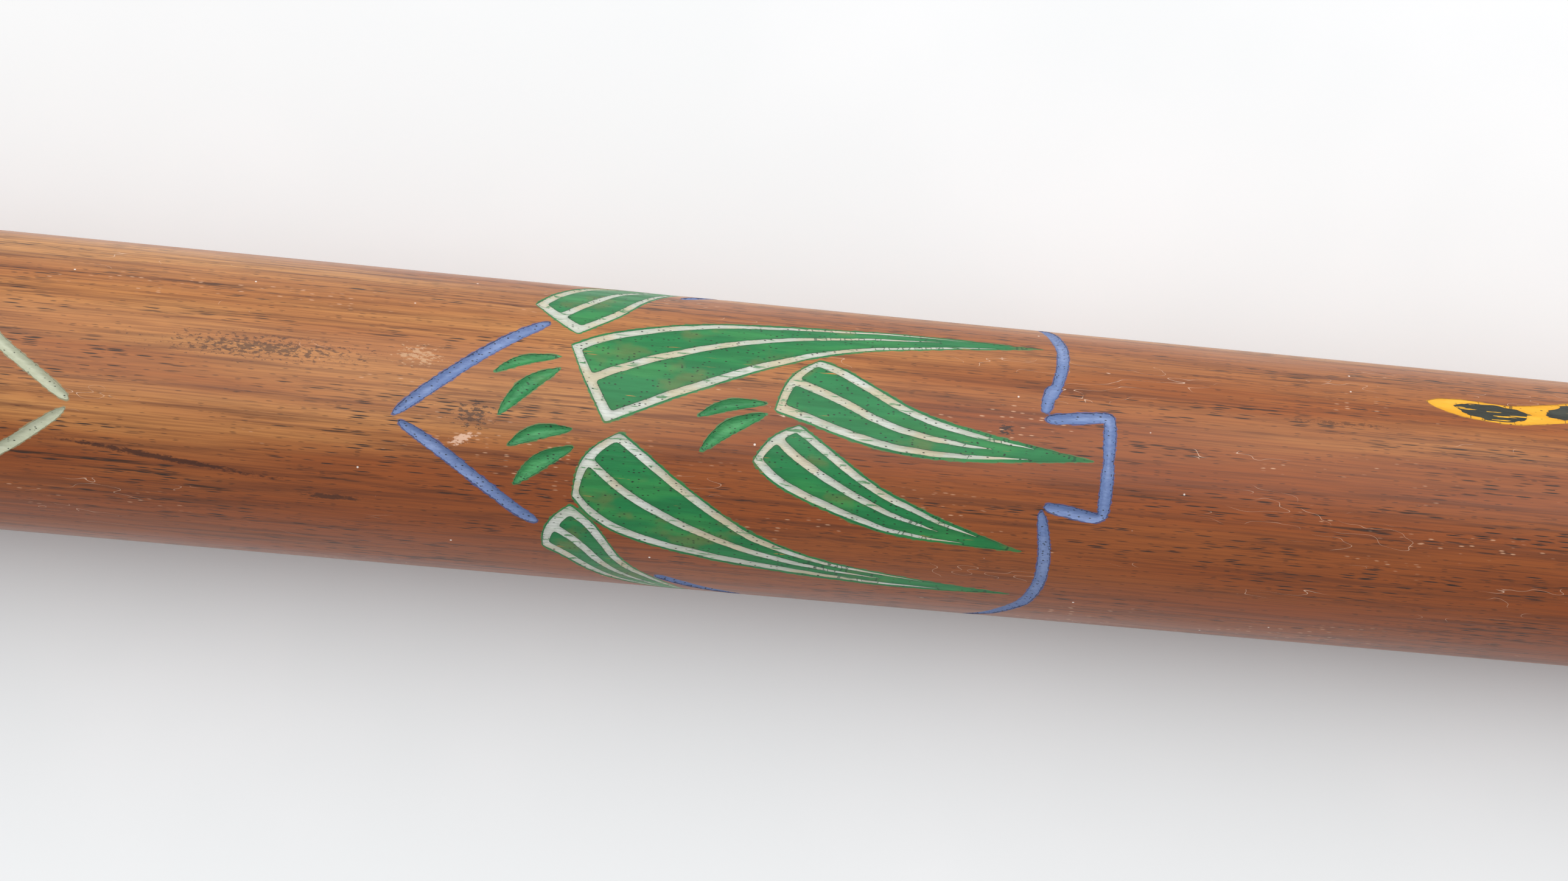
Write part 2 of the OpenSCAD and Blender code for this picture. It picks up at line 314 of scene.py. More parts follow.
def nodeGroup(name, inputs):
    tree = bpy.data.node_groups.new(name, "GeometryNodeTree")
    tree.interface.new_socket("Geometry", in_out="INPUT", socket_type="NodeSocketGeometry")
    for label, kind, value in inputs:
        socket = tree.interface.new_socket(label, in_out="INPUT", socket_type=kind)
        if value is not None:
            socket.default_value = value
    tree.interface.new_socket("Geometry", in_out="OUTPUT", socket_type="NodeSocketGeometry")
    return tree, tree.nodes.new("NodeGroupInput").outputs, tree.nodes.new("NodeGroupOutput").inputs


# runs a tree on a mesh and gives its result as a plain mesh object at the origin
def runNodes(mesh, tree, values, name):
    carrier = bpy.data.objects.new("carrier", mesh)
    bpy.context.collection.objects.link(carrier)
    modifier = carrier.modifiers.new("nodes", "NODES")
    modifier.node_group = tree
    for item in tree.interface.items_tree:
        if item.item_type == "SOCKET" and item.in_out == "INPUT" and item.name in values:
            modifier[item.identifier] = values[item.name]
    bpy.context.view_layer.update()
    evaluated = carrier.evaluated_get(bpy.context.evaluated_depsgraph_get())
    made = bpy.data.meshes.new_from_object(evaluated)
    bpy.data.objects.remove(carrier)
    made.name = name
    piece = bpy.data.objects.new(name, made)
    bpy.context.collection.objects.link(piece)
    return piece


# rolls a flat carved sheet, drawn as (x, arc length, height), into a conical tube
def rollTree():
    tree, given, result = nodeGroup("rollIntoTube", [
        ("Mouth radius", "NodeSocketFloat", tube["mouth"]), ("Slope", "NodeSocketFloat", tube["slope"]),
        ("Flat radius", "NodeSocketFloat", tube["flat"]), ("Surface", "NodeSocketMaterial", None),
        ("Bare wood", "NodeSocketMaterial", None)])
    place = put(tree, "GeometryNodeInputPosition", {}, {})
    split = put(tree, "SeparateXYZ", {}, {0: place}).node.outputs
    widening = put(tree, "Math", "MULTIPLY", {0: split["X"], 1: given["Slope"]})
    cone = put(tree, "Math", "SUBTRACT", {0: given["Mouth radius"], 1: widening})
    radius = put(tree, "Math", "ADD", {0: cone, 1: split["Z"]})
    angle = put(tree, "Math", "DIVIDE", {0: split["Y"], 1: given["Flat radius"]})
    sine = put(tree, "Math", "SINE", {0: angle})
    cosine = put(tree, "Math", "COSINE", {0: angle})
    across = put(tree, "Math", "MULTIPLY", {0: radius, 1: sine})
    up = put(tree, "Math", "MULTIPLY", {0: radius, 1: cosine})
    rolled = put(tree, "CombineXYZ", {}, {"X": split["X"], "Y": across, "Z": up})
    moved = put(tree, "GeometryNodeSetPosition", {}, {"Geometry": given["Geometry"], "Position": rolled})
    real = put(tree, "GeometryNodeRealizeInstances", {}, {"Geometry": moved})
    surface = put(tree, "GeometryNodeSetMaterial", {}, {"Geometry": real, "Material": given["Surface"]})
    bare = put(tree, "GeometryNodeInputNamedAttribute", {"data_type": "BOOLEAN"}, {"Name": "bare"})
    inner = put(tree, "GeometryNodeSetMaterial", {}, {
        "Geometry": surface, "Selection": bare, "Material": given["Bare wood"]})
    tree.links.new(inner, result["Geometry"])
    return tree


roll = rollTree()


def flatMesh(name, points, faces, faceData, pointData):
    mesh = bpy.data.meshes.new(name)
    mesh.from_pydata([tuple(p) for p in points], [], faces)
    for label, values in faceData.items():
        mesh.attributes.new(label, "BOOLEAN", "FACE").data.foreach_set("value", values)
    for label, values in pointData.items():
        values = np.asarray(values, dtype=np.float32)
        kind = "FLOAT" if values.ndim == 1 else "FLOAT_COLOR"
        field = "value" if values.ndim == 1 else "color"
        mesh.attributes.new(label, kind, "POINT").data.foreach_set(field, values.ravel())
    return mesh


def rollUp(name, mesh, surface, bare):
    return runNodes(mesh, roll, {
        "Mouth radius": tube["mouth"], "Slope": tube["slope"], "Flat radius": tube["flat"],
        "Surface": surface, "Bare wood": bare}, name)


def faceFlags(mesh, label):
    flags = np.zeros(len(mesh.polygons), dtype=bool)
    mesh.attributes[label].data.foreach_get("value", flags)
    return flags


def meshArrays(mesh):
    points = np.empty(len(mesh.vertices) * 3)
    mesh.vertices.foreach_get("co", points)
    corners = np.empty(len(mesh.loops), dtype=np.int64)
    mesh.loops.foreach_get("vertex_index", corners)
    sizes = np.empty(len(mesh.polygons), dtype=np.int64)
    mesh.polygons.foreach_get("loop_total", sizes)
    return points.reshape(-1, 3), corners, np.repeat(np.arange(len(sizes)), sizes)


# a painted top is smooth and everything else is flat, so that rims stay crisp
def shadeCoat(piece):
    mesh = piece.data
    top = faceFlags(mesh, "top")
    points, corners, owner = meshArrays(mesh)
    mesh.polygons.foreach_set("use_smooth", top)
    onTop = top[owner]
    tris = corners[onTop].reshape(-1, 3)
    a, b, c = points[tris[:, 0]], points[tris[:, 1]], points[tris[:, 2]]
    normals = np.zeros((len(points), 3))
    for k in range(3):
        np.add.at(normals, tris[:, k], np.cross(b - a, c - a))
    normals /= np.maximum(np.linalg.norm(normals, axis=1), 1e-20)[:, None]
    split = np.where(onTop[:, None], normals[corners], 0.0)
    mesh.normals_split_custom_set(split.tolist())


def nearest(points, targets):
    tree = pointTree(targets)
    found = [tree.find((p[0], p[1], 0)) for p in points]
    return np.array([f[2] for f in found]), np.array([f[1] for f in found])


class Solid:  # collects faces and knows which edges still wait for a neighbour
    def __init__(self):
        self.points, self.faces, self.waiting = [], [], {}
        self.flags = {}

    def addPoints(self, rows):
        start = len(self.points)
        self.points.extend(rows)
        return start

    def addFace(self, face, **flags):
        for a, b in zip(face, face[1:] + face[:1]):
            if (b, a) in self.waiting:
                del self.waiting[(b, a)]
            else:
                self.waiting[(a, b)] = len(self.faces)
        self.faces.append(face)
        for label, value in flags.items():
            self.flags.setdefault(label, []).append(value)


grooves = {  # how far in from its rim a gouge reaches its full depth
    "stroke": {"reach": 1.0 * mm, "depth": 0.62 * mm},
    "leaflet": {"reach": 1.1 * mm, "depth": 0.6 * mm},
    "line": {"reach": 0.6 * mm, "depth": 0.24 * mm},
    "field": {"reach": 0.4 * mm, "depth": 0.0},
}
brushMarks = {"height": 0.02 * mm, "along": 2.2 * mm, "across": 0.6 * mm}
# edge distance in mm and groove share that a material reads where a line is too thin to have any
thinLine = {"edge": 0.14, "groove": 0.6}


def colour(hexCode):
    parts = [int(hexCode[i:i + 2], 16) / 255 for i in (1, 3, 5)]
    return tuple(p / 12.92 if p <= 0.04045 else ((p + 0.055) / 1.055) ** 2.4 for p in parts) + (1.0,)


def newMaterial(name, look):
    material = bpy.data.materials.new(name)
    material.use_nodes = True
    tree = material.node_tree
    shader = tree.nodes["Principled BSDF"]
    for label, value in look.items():
        shader.inputs[label].default_value = value
    return material, tree, shader.inputs


# object coordinates measured in lengths of x, y and z millimetres, moved by a seed
def gridOf(tree, x, y, z, seed=0.0):
    place = put(tree, "TexCoord", {}, {}, "Object")
    scale = (1 / (x * mm), 1 / (y * mm), 1 / (z * mm))
    return put(tree, "Mapping", {}, {
        "Vector": place, "Scale": scale, "Location": (seed, seed, seed)})


# object coordinates as separate outputs
def axesOf(tree):
    place = put(tree, "TexCoord", {}, {}, "Object")
    return put(tree, "SeparateXYZ", {}, {0: place}).node.outputs


# soft mask of a noise whose grains are x by y by z millimetres
def mottle(tree, size, low, high, seed=0.0, detail=3.0, rough=0.5):
    grid = gridOf(tree, *size, seed)
    value = put(tree, "TexNoise", {}, {
        "Vector": grid, "Scale": 1.0, "Detail": detail, "Roughness": rough})
    return put(tree, "MapRange", smoothly, {"Value": value, "From Min": low, "From Max": high})


# separate dashes or dots: a cell's middle is marked when the cell's own number is under share
def dashes(tree, size, share, low, high, seed=0.0):
    grid = gridOf(tree, *size, seed)
    cell = put(tree, "TexVoronoi", {}, {"Vector": grid, "Scale": 1.0}).node.outputs
    number = put(tree, "SeparateColor", {}, {0: cell["Color"]})
    chosen = put(tree, "Math", "LESS_THAN", {0: number, 1: share})
    middle = put(tree, "MapRange", smoothly, {
        "Value": cell["Distance"], "From Min": high, "From Max": low})
    return put(tree, "Math", "MULTIPLY", {0: chosen, 1: middle})


# thin wandering lines, where a noise crosses its middle value
def hairlines(tree, size, width, share, seed=0.0):
    grid = gridOf(tree, *size, seed)
    value = put(tree, "TexNoise", {}, {"Vector": grid, "Scale": 1.0, "Detail": 1.0})
    off = put(tree, "Math", "SUBTRACT", {0: value, 1: 0.5})
    away = put(tree, "Math", "ABSOLUTE", {0: off})
    line = put(tree, "MapRange", {}, {"Value": away, "From Min": width, "From Max": 0.0})
    here = mottle(tree, [3 * s for s in size], 1 - share, 1.05 - share, seed + 7)
    return put(tree, "Math", "MULTIPLY", {0: line, 1: here})


# lays each colour over the ones before it, through its own mask
def layered(tree, base, layers):
    result = base
    for mask, over in layers:
        result = put(tree, "Mix", {"data_type": "RGBA"}, {0: mask, 6: result, 7: over}, 2)
    return result


# wires up a finish: its colour, a roughness from low to high, and bumps of a depth in mm
def wire(tree, shader, base, rough, low, high, height=None, depth=0.0):
    tree.links.new(base, shader["Base Color"])
    roughness = put(tree, "MapRange", {}, {"Value": rough, "To Min": low, "To Max": high})
    tree.links.new(roughness, shader["Roughness"])
    if height is not None:
        bumps = put(tree, "Bump", {}, {"Height": height, "Distance": depth * mm})
        tree.links.new(bumps, shader["Normal"])


# hides the CAD node that a finished piece stands for and puts the piece on the root body
def handOver(piece, node):
    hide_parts(node)
    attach(piece, "root")


# a coat of paint is one closed solid for each cluster: painted top, flat underside, side walls
def coatPiece(name, node, floor, sheets, levels, groove, material):
    solid, share, gap = Solid(), [], []
    for verts, tris, owners in sheets:
        chosen = [t for t, level in zip(tris, owners) if level in levels]
        if not chosen:
            continue
        used = sorted({v for t in chosen for v in t})
        place = {v: i for i, v in enumerate(used)}
        flat = verts[used]
        edges = {}
        for t in chosen:
            for edge in zip(t, t[1:] + t[:1]):
                edges[edge] = edges[edge[::-1]] = edges.get(edge, 0) + 1
        rim = sorted({v for edge, count in edges.items() if count == 1 for v in edge})
        away = nearest(flat, verts[rim])[0]
        reach = np.minimum(away / grooves[groove]["reach"], 1)
        wide = {place[v] for t in chosen for v in t if any(away[place[w]] > 0 for w in t)}
        narrow = np.array([i not in wide for i in range(len(used))])
        marks = np.array([noise.noise(Vector((
            p[0] / brushMarks["along"], p[1] / brushMarks["across"], 1.5))) for p in flat])
        depth = grooves[groove]["depth"] * np.sin(reach * math.pi / 2)
        depth += carving["rim"] + brushMarks["height"] * marks * reach
        top = solid.addPoints(np.column_stack([flat, -depth]))
        under = solid.addPoints(np.column_stack([flat, np.full(len(flat), -floor)]))
        for t in chosen:
            a, b, c = (place[v] for v in t)
            solid.addFace([top + a, top + b, top + c], top=True)
            solid.addFace([under + c, under + b, under + a], top=False)
        for a, b in sorted(edge for edge in solid.waiting if top <= edge[0] < under):
            solid.addFace([b, a, a - top + under, b - top + under], top=False)
        share.extend(list(np.where(narrow, thinLine["groove"], reach)) * 2)
        gap.extend(list(np.where(narrow, thinLine["edge"], away / mm)) * 2)
    mesh = flatMesh(name, solid.points, solid.faces, solid.flags, {"groove": share, "edge": gap})
    piece = rollUp(name, mesh, material, material)
    shadeCoat(piece)
    handOver(piece, node)
    print(name, len(solid.faces), "faces, open edges", len(solid.waiting))


shell = {
    "gridLength": 8 * mm, "gridAngle": math.radians(3),
    "rings": [0.3 * mm, 0.7 * mm, 1.2 * mm],  # rows of points around each outline
    "ringGap": 0.85,  # share of its own distance that a row keeps from every outline
    "seamGap": 0.01,  # angle that the rows keep from the seam
    "cutRadius": 20 * mm,  # a cut is a half's own inside the seam angle at this radius
    "boreLength": 25 * mm, "boreAngle": math.radians(4.5),
    "stainWidth": 1.0 * mm,  # how far paint has spread past a rim
    "wornEdge": [0.0, 0.06, 0.5, 0.94, 1.25],  # rows across an end chamfer, as shares of it
}
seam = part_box("seam_glue")[1][2]  # half the thickness of the glue line


# angle from a half's middle to its flat seam face, at a radius
def seamAngle(radius):
    return math.acos(seam / radius)


def chamferDrop(x):
    inner = tube["chamfer"] - min(-x, tube["length"] + x)
    return -max(inner, 0.0)


def outerRows():
    length, chamfer = tube["length"], tube["chamfer"]
    count = round(length / shell["gridLength"])
    rows = [-length * (i + 0.5) / count for i in range(count)]
    ends = [share * chamfer for share in shell["wornEdge"]]
    rows = [x for x in rows if -length + 2 * chamfer < x < -2 * chamfer]
    return sorted({-e for e in ends} | set(rows) | {e - length for e in ends}, reverse=True)


# outlines that cut a half's surface, moved to the half's own turn of the sheet
def halfLoops(middle):
    turn = 2 * math.pi * tube["flat"]
    centre = middle * tube["flat"]
    found = []
    for node, coat in carved.items():
        for group in coat["groups"]:
            for shift in (-turn, 0, turn):
                loop = group["loops"][0] + np.array([0, shift])
                if np.min(abs(loop[:, 1] - centre)) < seamAngle(shell["cutRadius"]) * tube["flat"]:
                    found.append((loop, coat["floor"], node))
    return found


def ringPoints(loops):
    tree = pointTree(np.concatenate([loop for loop, floor, node in loops]))
    points = []
    for loop, floor, node in loops:
        along = np.roll(loop, -1, 0) - np.roll(loop, 1, 0)
        out = np.stack([along[:, 1], -along[:, 0]], 1) / np.linalg.norm(along, axis=1)[:, None]
        for row, distance in enumerate(shell["rings"]):
            for p in (loop + out * distance)[row % 2::row + 1]:
                if tree.find((p[0], p[1], 0))[2] > shell["ringGap"] * distance:
                    points.append(p)
    return points


def buildHalf(name, node, middle, surface, bare):
    flatRadius, solid = tube["flat"], Solid()
    loops = halfLoops(middle)
    rows = outerRows()
    border = [(x, -1) for x in rows[::-1]] + [(x, 1) for x in rows]
    outline = [(x, (middle + side * seamAngle(outerRadius(x) + chamferDrop(x))) * flatRadius)
               for x, side in border]
    points, edges, faces = list(outline), ringEdges(0, len(outline)), [list(range(len(outline)))]
    reach = int(math.pi / 2 / shell["gridAngle"])
    turns = [(middle + i * shell["gridAngle"]) * flatRadius for i in range(-reach + 1, reach)]
    points += [(x, turn) for x in rows[1:-1] for turn in turns]
    for loop, floor, coat in loops:
        start = len(points)
        points.extend(map(tuple, loop))
        edges += ringEdges(start, len(loop))
        faces.append(list(range(start, start + len(loop))))
    inner = [p for p in ringPoints(loops)
             if abs(p[1] / flatRadius - middle) < seamAngle(outerRadius(p[0])) - shell["seamGap"]
             and -tube["length"] + 2 * tube["chamfer"] < p[0] < -2 * tube["chamfer"]]
    points.extend(map(tuple, inner))
    points += [(x, turn) for x in (rows[0], rows[-1]) for turn in turns]
    verts, tris, owners = triangulate(points, edges, faces)
    height = np.array([chamferDrop(x) for x in verts[:, 0]])
    skin = solid.addPoints(np.column_stack([verts, height]))

    # carved triangles go down to the floor of their coat, and walls join the two levels
    floors, low = [0.0] + [f for loop, f, coat in loops], {}

    def floorPoint(v, depth):
        if (v, depth) not in low:
            low[(v, depth)] = solid.addPoints([(verts[v][0], verts[v][1], height[v] - depth)])
        return low[(v, depth)]

    sunk = {}
    for tri, owner in zip(tris, owners):
        if 0 not in owner:
            continue
        depth = floors[max(owner)]
        if depth:
            solid.addFace([floorPoint(v, depth) for v in tri], smooth=False, bare=True)
            for a, b in zip(tri, tri[1:] + tri[:1]):
                sunk[(a, b)] = depth
        else:
            solid.addFace([skin + v for v in tri], smooth=True, bare=False)
    for (a, b), depth in sunk.items():
        if (b, a) not in sunk and (skin + b, skin + a) in solid.waiting:
            solid.addFace([skin + a, skin + b, floorPoint(b, depth), floorPoint(a, depth)],
                          smooth=False, bare=False)
    outerEdges = dict(solid.waiting)

    # the bore, with its faces turned towards the axis
    steps = round(tube["length"] / shell["boreLength"])
    around = round(math.pi / shell["boreAngle"])
    grid = []
    for i in range(steps + 1):
        x = -tube["length"] * i / steps
        radius = boreRadius(x)
        for j in range(around + 1):
            angle = middle + seamAngle(radius) * (2 * j / around - 1)
            grid.append((x, angle * flatRadius, radius - outerRadius(x)))
    bore = solid.addPoints(grid)
    for i in range(steps):
        for j in range(around):
            a = bore + i * (around + 1) + j
            solid.addFace([a, a + around + 1, a + around + 2, a + 1], smooth=True, bare=True)
    boreEdges = {e: f for e, f in solid.waiting.items() if e not in outerEdges}

    # two seam faces and two end faces close the gap between skin and bore
    def chain(waiting, first, last):
        follow = {b: a for a, b in waiting}
        path = [first]
        while path[-1] != last:
            path.append(follow[path[-1]])
        return path

    rolledPoints = np.array(solid.points)
    corners = {}
    for label, waiting in (("skin", outerEdges), ("bore", boreEdges)):
        used = sorted({v for e in waiting for v in e})
        for end, x in (("mouth", 0.0), ("bell", -tube["length"])):
            here = [v for v in used if abs(rolledPoints[v][0] - x) < tolerance["weld"] / 2]
            here.sort(key=lambda v: rolledPoints[v][1])
            corners[label, end, "low"], corners[label, end, "high"] = here[0], here[-1]
    places = [("mouth", "low"), ("mouth", "high"), ("bell", "high"), ("bell", "low")]
    for here, there in zip(places, places[1:] + places[:1]):
        skinPath = chain(outerEdges, corners[("skin",) + there], corners[("skin",) + here])
        borePath = chain(boreEdges, corners[("bore",) + here], corners[("bore",) + there])
        face = skinPath + borePath
        axis = 0 if here[1] == there[1] else 1
        flat = [(rolledPoints[v][axis], rolledPoints[v][2]) for v in face]
        if loopArea(np.array(flat)) < 0:
            flat = [(-p, q) for p, q in flat]
        tris, owners = triangulate(flat, ringEdges(0, len(flat)), [list(range(len(flat)))])[1:]
        for tri, owner in zip(tris, owners):
            if owner:
                solid.addFace([face[v] for v in tri], smooth=False, bare=axis == 1)

    # paint has spread a little past the rims of its cuts
    flat = np.array([p[:2] for p in solid.points])
    every = np.concatenate([loop for loop, floor, coat in loops])
    colours = np.concatenate([[stainColours[coat]] * len(loop) for loop, floor, coat in loops])
    gap, which = nearest(flat, every)
    near = np.clip(1 - gap / shell["stainWidth"], 0, 1)
    stain = np.column_stack([colours[which][:, :3], near])
    mesh = flatMesh(name, solid.points, solid.faces, solid.flags, {"stain": stain})
    piece = rollUp(name, mesh, surface, bare)
    shadeHalf(piece)
    handOver(piece, node)
    print(name, len(solid.faces), "faces, open edges", len(solid.waiting))


# smooth faces of the cone get the true cone's normals, so that the gloss runs straight
def shadeHalf(piece):
    mesh = piece.data
    smooth = faceFlags(mesh, "smooth")
    mesh.polygons.foreach_set("use_smooth", smooth)
    points, corners, owner = meshArrays(mesh)
    radius = np.hypot(points[:, 1], points[:, 2])
    onCone = abs(radius - outerRadius(points[:, 0])) < tolerance["cone"]
    normals = np.column_stack([np.full(len(points), tube["slope"]), points[:, 1:] / radius[:, None]])
    chosen = smooth[owner] & onCone[corners]
    split = np.where(chosen[:, None], normals[corners], 0.0)
    mesh.normals_split_custom_set(split.tolist())


# marks that this stick carries: how far along in mm and round in degrees, half the length in mm,
# half the width in degrees, slant in degrees a metre, colour, strength and how torn the edge is
stickMarks = [
    (-703, -24, 22, 1.5, -240, "#3A1A0E", 0.85, 2.0),
    (-675, -34.5, 6, 1.6, 0, "#3C2014", 0.8, 2.0),
    (-652, 3, 3.2, 5, 0, "#3A2418", 0.8, 6.5),
    (-653.5, -6, 2.8, 2.2, 900, "#DDB49A", 0.9, 3.5),
    (-662, 24.5, 3.5, 4, 0, "#CBA27C", 0.6, 7.0),
    (-507, 33, 9, 1.2, 60, "#44240F", 0.6, 5.0),
    (-688, 22, 16, 4.5, 0, "#3A2014", 0.7, 7.0),
    (-563.4, 17, 1.8, 2.4, 0, "#2B1A14", 0.9, 4.0),
]


# layer of one mark, with a torn edge that follows the grain
def markLayer(tree, mark):
    x, around, halfLength, halfWidth, slant, code, strength, torn = mark
    axis = axesOf(tree)
    turn = put(tree, "Math", "ARCTAN2", {0: axis["Y"], 1: axis["Z"]})
    along = put(tree, "Math", "SUBTRACT", {0: axis["X"], 1: x * mm})
    aim = put(tree, "Math", "MULTIPLY_ADD", {0: along, 1: math.radians(slant), 2: math.radians(around)})
    aside = put(tree, "Math", "SUBTRACT", {0: turn, 1: aim})
    u = put(tree, "Math", "DIVIDE", {0: along, 1: halfLength * mm})
    v = put(tree, "Math", "DIVIDE", {0: aside, 1: math.radians(halfWidth)})
    both = put(tree, "CombineXYZ", {}, {0: u, 1: v, 2: 0.0})
    far = put(tree, "VectorMath", "LENGTH", {0: both}, "Value")
    grid = gridOf(tree, 1.1, 0.45, 0.45, around)
    rough = put(tree, "TexNoise", {}, {"Vector": grid, "Scale": 1.0, "Detail": 4.0, "Roughness": 0.7})
    ragged = put(tree, "Math", "MULTIPLY_ADD", {0: rough, 1: -torn, 2: 0.55 * torn})
    edge = put(tree, "Math", "ADD", {0: far, 1: ragged})
    mask = put(tree, "MapRange", smoothly, {
        "Value": edge, "From Min": 1.0, "From Max": 0.55, "To Max": strength})
    return mask, colour(code)


hardwood = {
    "upper": {"base": "#B0703C", "pale": "#C4884C", "warm": "#9F5A26", "seed": 0.0},
    # the lower half's colours are a darker copy of the upper half's: painted shade on the underside
    "lower": {"base": "#A6673C", "pale": "#B67C4C", "warm": "#96552C", "seed": 11.0},
    "heartAndShade": "#8A3F10", "heartAndShadeFrom": 3 * mm, "heartAndShadeTo": -13 * mm,  # redder, darker wood on the -Y side, away from the key light: partly the wood's own colour, partly painted shade
    "grain": "#5F3017", "pore": "#2A1810", "mineral": "#43230F",
    "scuff": "#D3A482", "scratch": "#E0BFA6", "dust": "#F0E4DA",
}


# varnished flame-grained hardwood: the eye reads long brown grain, short dark vessels cut open
# by the lathe or plane, and a clear gloss film that pales towards the edges
def varnishedWood(name, tone, marks):
    look = hardwood[tone]
    seed = look["seed"]
    material, tree, shader = newMaterial(name, {
        "Coat Weight": 0.25, "Coat Roughness": 0.22, "Coat IOR": 1.5, "Specular IOR Level": 0.3})
    grainField = mottle(tree, (45, 1.1, 1.1), 0.46, 0.72, seed + 1, 5.0, 0.62)
    fibre = mottle(tree, (14, 0.28, 0.28), 0.35, 0.75, seed + 2, 2.0)
    cluster = mottle(tree, (38, 5, 5), 0.42, 0.62, seed + 3, 2.0)
    vessels = dashes(tree, (4.6, 0.32, 0.32), 0.55, 0.2, 0.42, seed + 4)
    pores = put(tree, "Math", "MULTIPLY", {0: vessels, 1: cluster})
    finePores = dashes(tree, (1.9, 0.24, 0.24), 0.16, 0.18, 0.4, seed + 5)
    mineral = mottle(tree, (22, 0.7, 0.7), 0.58, 0.7, seed + 6, 4.0, 0.6)
    scratches = hairlines(tree, (9, 2.4, 2.4), 0.003, 0.4, seed + 8)
    worn = mottle(tree, (34, 7, 7), 0.58, 0.68, seed + 15)
    rubs = dashes(tree, (1.7, 0.42, 0.42), 0.3, 0.12, 0.36, seed + 14)
    scuffs = put(tree, "Math", "MULTIPLY", {0: rubs, 1: worn})
    dust = dashes(tree, (1.6, 1.6, 1.6), 0.012, 0.05, 0.16, seed + 9)
    soft = put(tree, "Math", "MULTIPLY", {0: fibre, 1: 0.45})
    half = put(tree, "Math", "MULTIPLY", {0: grainField, 1: 0.75})
    faint = put(tree, "Math", "MULTIPLY", {0: finePores, 1: 0.6})
    axis = axesOf(tree)
    drift = put(tree, "TexNoise", {}, {
        "Vector": gridOf(tree, 70, 7, 7, seed + 21), "Scale": 1.0, "Detail": 3.0})
    # the redder, darker band is partly the wood's own colour and partly painted shade on the -Y side, away
    # from the key light; it reaches higher towards the mouth end
    climb = put(tree, "MapRange", smoothly, {
        "Value": axis["X"], "From Min": -0.7, "From Max": -0.56, "To Min": 4 * mm, "To Max": -20 * mm})
    level = put(tree, "Math", "ADD", {0: axis["Y"], 1: climb})
    bent = put(tree, "Math", "MULTIPLY_ADD", {0: drift, 1: 18 * mm, 2: level})
    heartAndShade = put(tree, "MapRange", smoothly, {
        "Value": bent, "From Min": hardwood["heartAndShadeFrom"] + 9 * mm,
        "From Max": hardwood["heartAndShadeTo"] + 9 * mm, "To Max": 0.85})
    layers = [
        (mottle(tree, (120, 9, 9), 0.4, 0.66, seed), colour(look["pale"])),
        (mottle(tree, (170, 12, 12), 0.44, 0.68, seed + 20), colour(look["warm"])),
        (heartAndShade, colour(hardwood["heartAndShade"])),
        (half, colour(hardwood["grain"])),
        (soft, colour(hardwood["grain"])),
        (put(tree, "Math", "MULTIPLY", {0: mineral, 1: cluster}), colour(hardwood["mineral"])),
        (faint, colour(hardwood["pore"])),
        (pores, colour(hardwood["pore"]))]
    layers += [markLayer(tree, mark) for mark in marks]
    layers += [
        (put(tree, "Math", "MULTIPLY", {0: scuffs, 1: 0.7}), colour(hardwood["scuff"])),
        (scratches, colour(hardwood["scratch"])), (dust, colour(hardwood["dust"]))]
    wood = layered(tree, colour(look["base"]), layers)
    stain = put(tree, "Attribute", {"attribute_name": "stain"}, {}).node.outputs
    ragged = put(tree, "TexNoise", {}, {
        "Vector": gridOf(tree, 1.6, 0.5, 0.5, seed), "Scale": 1.0, "Detail": 3.0})
    spread = put(tree, "Math", "MULTIPLY_ADD", {0: ragged, 1: 0.8, 2: stain["Alpha"]})
    stained = put(tree, "MapRange", smoothly, {
        "Value": spread, "From Min": 1.2, "From Max": 1.36, "To Max": 0.8})
    skin = put(tree, "Mix", {"data_type": "RGBA"}, {0: stained, 6: wood, 7: stain["Color"]}, 2)
    rubbed = mottle(tree, (60, 8, 8), 0.3, 0.7, seed + 12)
    height = put(tree, "Math", "SUBTRACT", {0: half, 1: pores})
    wire(tree, shader, skin, rubbed, 0.36, 0.5, height, 0.03)
    return material


logEnd = {"pith": (-31 * mm, -12 * mm), "ringWidth": 2.3 * mm}


# bored and unvarnished wood: dull, paler, with growth rings, tool rings and open vessels
def boredWood(name):
    material, tree, shader = newMaterial(name, {"Specular IOR Level": 0.3})
    rings = mottle(tree, (1.4, 30, 30), 0.3, 0.7, 31.0)
    warp = put(tree, "TexNoise", {}, {"Vector": gridOf(tree, 90, 14, 14, 35.0), "Scale": 1.0})
    axis = axesOf(tree)
    aside = put(tree, "Math", "SUBTRACT", {0: axis["Y"], 1: logEnd["pith"][0]})
    above = put(tree, "Math", "SUBTRACT", {0: axis["Z"], 1: logEnd["pith"][1]})
    flat = put(tree, "CombineXYZ", {}, {0: aside, 1: above, 2: 0.0})
    away = put(tree, "VectorMath", "LENGTH", {0: flat}, "Value")
    bent = put(tree, "Math", "MULTIPLY_ADD", {0: warp, 1: 5 * mm, 2: away})
    turn = put(tree, "Math", "MULTIPLY", {
        0: bent, 1: 2 * math.pi / logEnd["ringWidth"]})
    wave = put(tree, "Math", "SINE", {0: turn})
    growth = put(tree, "MapRange", {}, {
        "Value": wave, "From Min": -0.4, "From Max": 1.0, "To Max": 0.55})
    patchy = mottle(tree, (25, 9, 9), 0.4, 0.6, 34.0)
    wood = layered(tree, colour("#A77A55"), [
        (growth, colour("#7A4E2E")),
        (mottle(tree, (60, 2, 2), 0.4, 0.7, 32.0), colour("#7F5535")),
        (dashes(tree, (3.0, 0.35, 0.35), 0.4, 0.2, 0.42, 33.0), colour("#3A2418")),
        (put(tree, "Math", "MULTIPLY", {0: rings, 1: patchy}), colour("#BF9770"))])
    wire(tree, shader, wood, rings, 0.62, 0.8, rings, 0.05)
    return material
